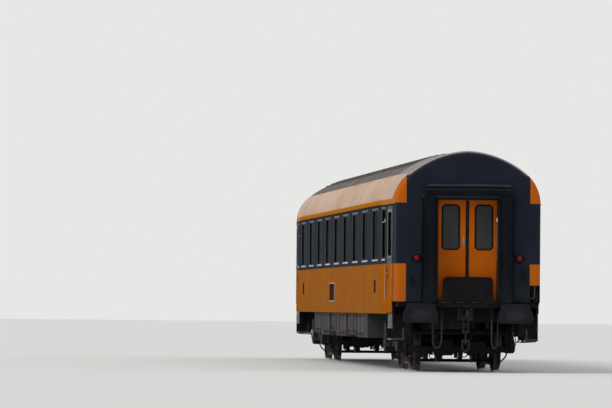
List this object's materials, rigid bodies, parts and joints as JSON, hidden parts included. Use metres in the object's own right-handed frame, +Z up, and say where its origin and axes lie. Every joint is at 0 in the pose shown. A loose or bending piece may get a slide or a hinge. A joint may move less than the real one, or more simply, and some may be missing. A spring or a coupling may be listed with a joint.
{
  "type": "railway passenger coach with side compartments",
  "caption": "Long-distance railway passenger coach on bogies, with side windows, end gangways with sliding doors, side buffers and screw coupling.",
  "frame": {"origin": "under the middle of the coach, at the lowest points of the wheel flanges, 28 mm below the rail head", "axes": "+X towards the rear end, which the picture shows, +Y to the right side for someone who faces the front, +Z up"},
  "size_m": [26.4, 2.853, 4.0869],
  "materials": {
    "body_paint": "gloss yellow-orange below, grey-blue window band",
    "roof_paint": "weathered grey",
    "end_paint": "satin slate grey",
    "frame_paint": "dusty black",
    "frame_alloy": "satin anodised",
    "window_glass": "grey tinted",
    "step_steel": "worn grey",
    "tube_rubber": "matte",
    "buffer_steel": "greased dark",
    "lamp_glass": "red lens in a black case",
    "rail_paint": "worn pale grey",
    "sign_glass": "dark gloss",
    "hose_rubber": "matte",
    "case_paint": "dusty grey",
    "inner_panel": "pale laminate",
    "seat_cloth": "woven",
    "door_paint": "orange",
    "bogie_paint": "dusty black",
    "spring_steel": "dusty black",
    "wheel_steel": "brown dust, bright tread"
  },
  "bodies": {
    "carbody": {"side_wall_left": "body_paint", "side_wall_right": "body_paint", "vestibule_sides": "body_paint", "cant_panels": "body_paint", "roof_sheet": "roof_paint", "roof_ends": "roof_paint", "end_wall_rear": "end_paint", "end_wall_front": "end_paint", "floor_pan": "frame_paint", "centre_plates": "frame_paint", "headstocks": "frame_paint", "window_frames": "frame_alloy", "window_glass": "window_glass", "entrance_doors": "body_paint", "entrance_steps": "step_steel", "gangway_tubes": "tube_rubber", "buffers": "buffer_steel", "draw_hooks": "buffer_steel", "tail_lamps": "lamp_glass", "end_fittings": "frame_paint", "grab_handles": "rail_paint", "side_signs": "sign_glass", "brake_hose_rear_left": "hose_rubber", "brake_hose_rear_right": "hose_rubber", "brake_hose_front_left": "hose_rubber", "brake_hose_front_right": "hose_rubber", "equipment_cases": "case_paint", "air_tanks": "case_paint", "cross_walls": "inner_panel", "corridor_wall": "inner_panel", "ceiling": "inner_panel", "seat_benches": "seat_cloth", "vestibule_walls": "inner_panel"},
    "end_door_rear_left": {"end_door_rear_left": "door_paint", "end_glass_rear_left": "window_glass"},
    "end_door_rear_right": {"end_door_rear_right": "door_paint", "end_glass_rear_right": "window_glass"},
    "bridge_plate_rear": {"bridge_plate_rear": "step_steel"},
    "screw_coupling_rear": {"screw_coupling_rear": "buffer_steel"},
    "bogie_rear": {"bogie_frame_rear": "bogie_paint", "bogie_springs_rear": "spring_steel", "axle_boxes_rear": "bogie_paint", "brake_gear_rear": "bogie_paint"},
    "end_door_front_left": {"end_door_front_left": "door_paint", "end_glass_front_left": "window_glass"},
    "end_door_front_right": {"end_door_front_right": "door_paint", "end_glass_front_right": "window_glass"},
    "bridge_plate_front": {"bridge_plate_front": "step_steel"},
    "screw_coupling_front": {"screw_coupling_front": "buffer_steel"},
    "bogie_front": {"bogie_frame_front": "bogie_paint", "bogie_springs_front": "spring_steel", "axle_boxes_front": "bogie_paint", "brake_gear_front": "bogie_paint"},
    "wheelset_1": {"wheelset_1": "wheel_steel"},
    "wheelset_2": {"wheelset_2": "wheel_steel"},
    "wheelset_3": {"wheelset_3": "wheel_steel"},
    "wheelset_4": {"wheelset_4": "wheel_steel"}
  },
  "joints": [
    {"name": "bogie_rear_swivel", "type": "hinge", "parent": "carbody", "child": "bogie_rear", "pos_m": [9.5, 0, 1], "axis": [0, 0, 1], "range_deg": [-4, 4]},
    {"name": "bogie_front_swivel", "type": "hinge", "parent": "carbody", "child": "bogie_front", "pos_m": [-9.5, 0, 1], "axis": [0, 0, 1], "range_deg": [-4, 4]},
    {"name": "wheelset_1_roll", "type": "hinge", "parent": "bogie_rear", "child": "wheelset_1", "pos_m": [10.78, 0, 0.473], "axis": [0, 1, 0], "continuous": true},
    {"name": "wheelset_2_roll", "type": "hinge", "parent": "bogie_rear", "child": "wheelset_2", "pos_m": [8.22, 0, 0.473], "axis": [0, 1, 0], "continuous": true},
    {"name": "wheelset_3_roll", "type": "hinge", "parent": "bogie_front", "child": "wheelset_3", "pos_m": [-8.22, 0, 0.473], "axis": [0, 1, 0], "continuous": true},
    {"name": "wheelset_4_roll", "type": "hinge", "parent": "bogie_front", "child": "wheelset_4", "pos_m": [-10.78, 0, 0.473], "axis": [0, 1, 0], "continuous": true},
    {"name": "end_door_rear_left_slide", "type": "slide", "parent": "carbody", "child": "end_door_rear_left", "axis": [0, -1, 0], "range_m": [0, 0.5]},
    {"name": "end_door_rear_right_slide", "type": "slide", "parent": "carbody", "child": "end_door_rear_right", "axis": [0, 1, 0], "range_m": [0, 0.5]},
    {"name": "bridge_plate_rear_fold", "type": "hinge", "parent": "carbody", "child": "bridge_plate_rear", "pos_m": [13.071, 0, 1.286], "axis": [0, 1, 0], "range_deg": [0, 90]},
    {"name": "screw_coupling_rear_swing", "type": "hinge", "parent": "carbody", "child": "screw_coupling_rear", "pos_m": [12.73, 0, 1.073], "axis": [0, -1, 0], "range_deg": [0, 90]},
    {"name": "end_door_front_left_slide", "type": "slide", "parent": "carbody", "child": "end_door_front_left", "axis": [0, -1, 0], "range_m": [0, 0.5]},
    {"name": "end_door_front_right_slide", "type": "slide", "parent": "carbody", "child": "end_door_front_right", "axis": [0, 1, 0], "range_m": [0, 0.5]},
    {"name": "bridge_plate_front_fold", "type": "hinge", "parent": "carbody", "child": "bridge_plate_front", "pos_m": [-13.071, 0, 1.286], "axis": [0, -1, 0], "range_deg": [0, 90]},
    {"name": "screw_coupling_front_swing", "type": "hinge", "parent": "carbody", "child": "screw_coupling_front", "pos_m": [-12.73, 0, 1.073], "axis": [0, 1, 0], "range_deg": [0, 90]}
  ],
  "couplings": [
    {"joint": "end_door_rear_right_slide", "follows": "end_door_rear_left_slide", "ratio": 1},
    {"joint": "end_door_front_right_slide", "follows": "end_door_front_left_slide", "ratio": 1}
  ]
}
